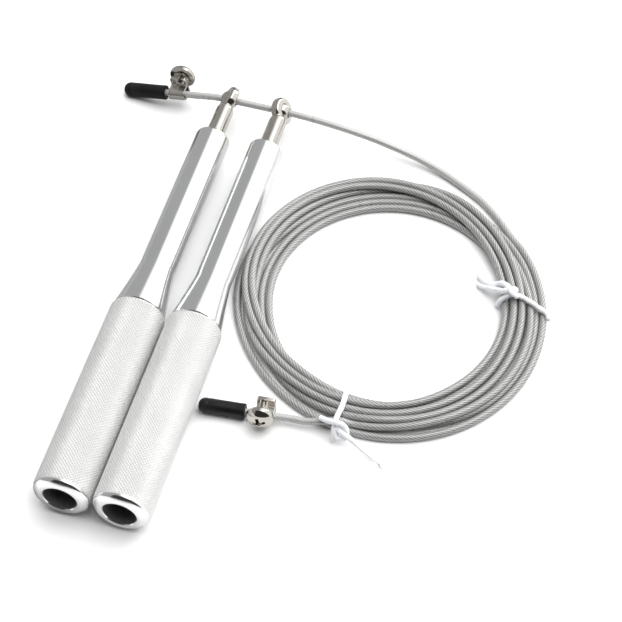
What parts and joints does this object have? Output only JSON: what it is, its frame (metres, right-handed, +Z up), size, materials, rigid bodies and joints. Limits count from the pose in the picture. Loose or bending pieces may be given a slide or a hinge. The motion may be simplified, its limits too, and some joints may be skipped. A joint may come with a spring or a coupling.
{
  "type": "jump rope",
  "caption": "Speed jump rope with slim knurled metal handles, rod-end eyes that run on a coated wire rope, screw clamps and rubber end caps, coiled and tied flat.",
  "frame": {"origin": "on the floor, midway between the two handles and midway along their length, from rear face to eye tip", "axes": "+Y along the handles towards their eyes, +Z up, +X towards the coiled rope"},
  "size_m": [0.1549, 0.1669, 0.0176],
  "materials": {
    "handle": "polished, with a knurled grip",
    "bearing_steel": "ground",
    "bearing_balls": "polished",
    "cage": "satin",
    "spacer": "satin",
    "stem": "nickel plated",
    "fastener": "zinc plated",
    "rope": "clear grey vinyl over twisted wire",
    "tie": "matt",
    "cap": "satin",
    "clamp": "nickel plated"
  },
  "bodies": {
    "rope": {"rope_lead": "rope", "rope_coil": "rope", "rope_tail": "rope", "right_tie": "tie", "lower_tie": "tie", "upper_end_cap": "cap", "lower_end_cap": "cap"},
    "left_eye_ball": {"left_eye_ball": "stem"},
    "left_stem": {"left_stem": "stem", "left_front_inner_race": "bearing_steel", "left_rear_inner_race": "bearing_steel", "left_bearing_spacer": "spacer", "left_stem_washer": "fastener", "left_lock_nut": "fastener"},
    "left_ball_sets": {"left_bearing_balls": "bearing_balls", "left_bearing_cages": "cage"},
    "left_handle": {"left_handle_body": "handle", "left_front_outer_race": "bearing_steel", "left_rear_outer_race": "bearing_steel", "left_bearing_shields": "bearing_steel"},
    "right_eye_ball": {"right_eye_ball": "stem"},
    "right_stem": {"right_stem": "stem", "right_front_inner_race": "bearing_steel", "right_rear_inner_race": "bearing_steel", "right_bearing_spacer": "spacer", "right_stem_washer": "fastener", "right_lock_nut": "fastener"},
    "right_ball_sets": {"right_bearing_balls": "bearing_balls", "right_bearing_cages": "cage"},
    "right_handle": {"right_handle_body": "handle", "right_front_outer_race": "bearing_steel", "right_rear_outer_race": "bearing_steel", "right_bearing_shields": "bearing_steel"},
    "upper_clamp": {"upper_clamp_strap": "clamp"},
    "upper_clamp_screw": {"upper_clamp_screw": "clamp", "upper_clamp_washer": "clamp"},
    "lower_clamp": {"lower_clamp_strap": "clamp"},
    "lower_clamp_screw": {"lower_clamp_screw": "clamp", "lower_clamp_washer": "clamp"}
  },
  "joints": [
    {"name": "left_handle_swing", "type": "hinge", "parent": "rope", "child": "left_eye_ball", "pos_m": [-0.00898, 0.0782, 0.0088], "axis": [1, 0, 0], "continuous": true},
    {"name": "left_eye_tilt", "type": "hinge", "parent": "left_eye_ball", "child": "left_stem", "pos_m": [-0.00898, 0.0782, 0.0088], "axis": [0, 1, 0], "range_deg": [-60, 0]},
    {"name": "left_handle_spin", "type": "hinge", "parent": "left_stem", "child": "left_handle", "pos_m": [-0.00898, 0, 0.0088], "axis": [0, 1, 0], "continuous": true},
    {"name": "left_ball_orbit", "type": "hinge", "parent": "left_stem", "child": "left_ball_sets", "pos_m": [-0.00898, 0, 0.0088], "axis": [0, 1, 0], "continuous": true},
    {"name": "right_handle_swing", "type": "hinge", "parent": "rope", "child": "right_eye_ball", "pos_m": [0.00898, 0.0782, 0.0088], "axis": [1, 0, 0], "continuous": true},
    {"name": "right_eye_tilt", "type": "hinge", "parent": "right_eye_ball", "child": "right_stem", "pos_m": [0.00898, 0.0782, 0.0088], "axis": [0, 1, 0], "range_deg": [0, 60]},
    {"name": "right_handle_spin", "type": "hinge", "parent": "right_stem", "child": "right_handle", "pos_m": [0.00898, 0, 0.0088], "axis": [0, 1, 0], "continuous": true},
    {"name": "right_ball_orbit", "type": "hinge", "parent": "right_stem", "child": "right_ball_sets", "pos_m": [0.00898, 0, 0.0088], "axis": [0, 1, 0], "continuous": true},
    {"name": "upper_clamp_slide", "type": "slide", "parent": "rope", "child": "upper_clamp", "axis": [0.9759, -0.039, 0.2147], "range_m": [-0.0008, 0.006]},
    {"name": "upper_screw_turn", "type": "hinge", "parent": "upper_clamp", "child": "upper_clamp_screw", "pos_m": [-0.02696, 0.08051, 0.00939], "axis": [0.04, 0.9992, 0], "continuous": true},
    {"name": "lower_clamp_slide", "type": "slide", "parent": "rope", "child": "lower_clamp", "axis": [0.995, 0.0995, 0], "range_m": [-0.0025, 0.005]},
    {"name": "lower_screw_turn", "type": "hinge", "parent": "lower_clamp", "child": "lower_clamp_screw", "pos_m": [0.03671, -0.03589, 0.0058], "axis": [0.0995, -0.995, 0], "continuous": true}
  ],
  "couplings": [
    {"joint": "left_ball_orbit", "follows": "left_handle_spin", "ratio": 0.603},
    {"joint": "right_ball_orbit", "follows": "right_handle_spin", "ratio": 0.603}
  ]
}
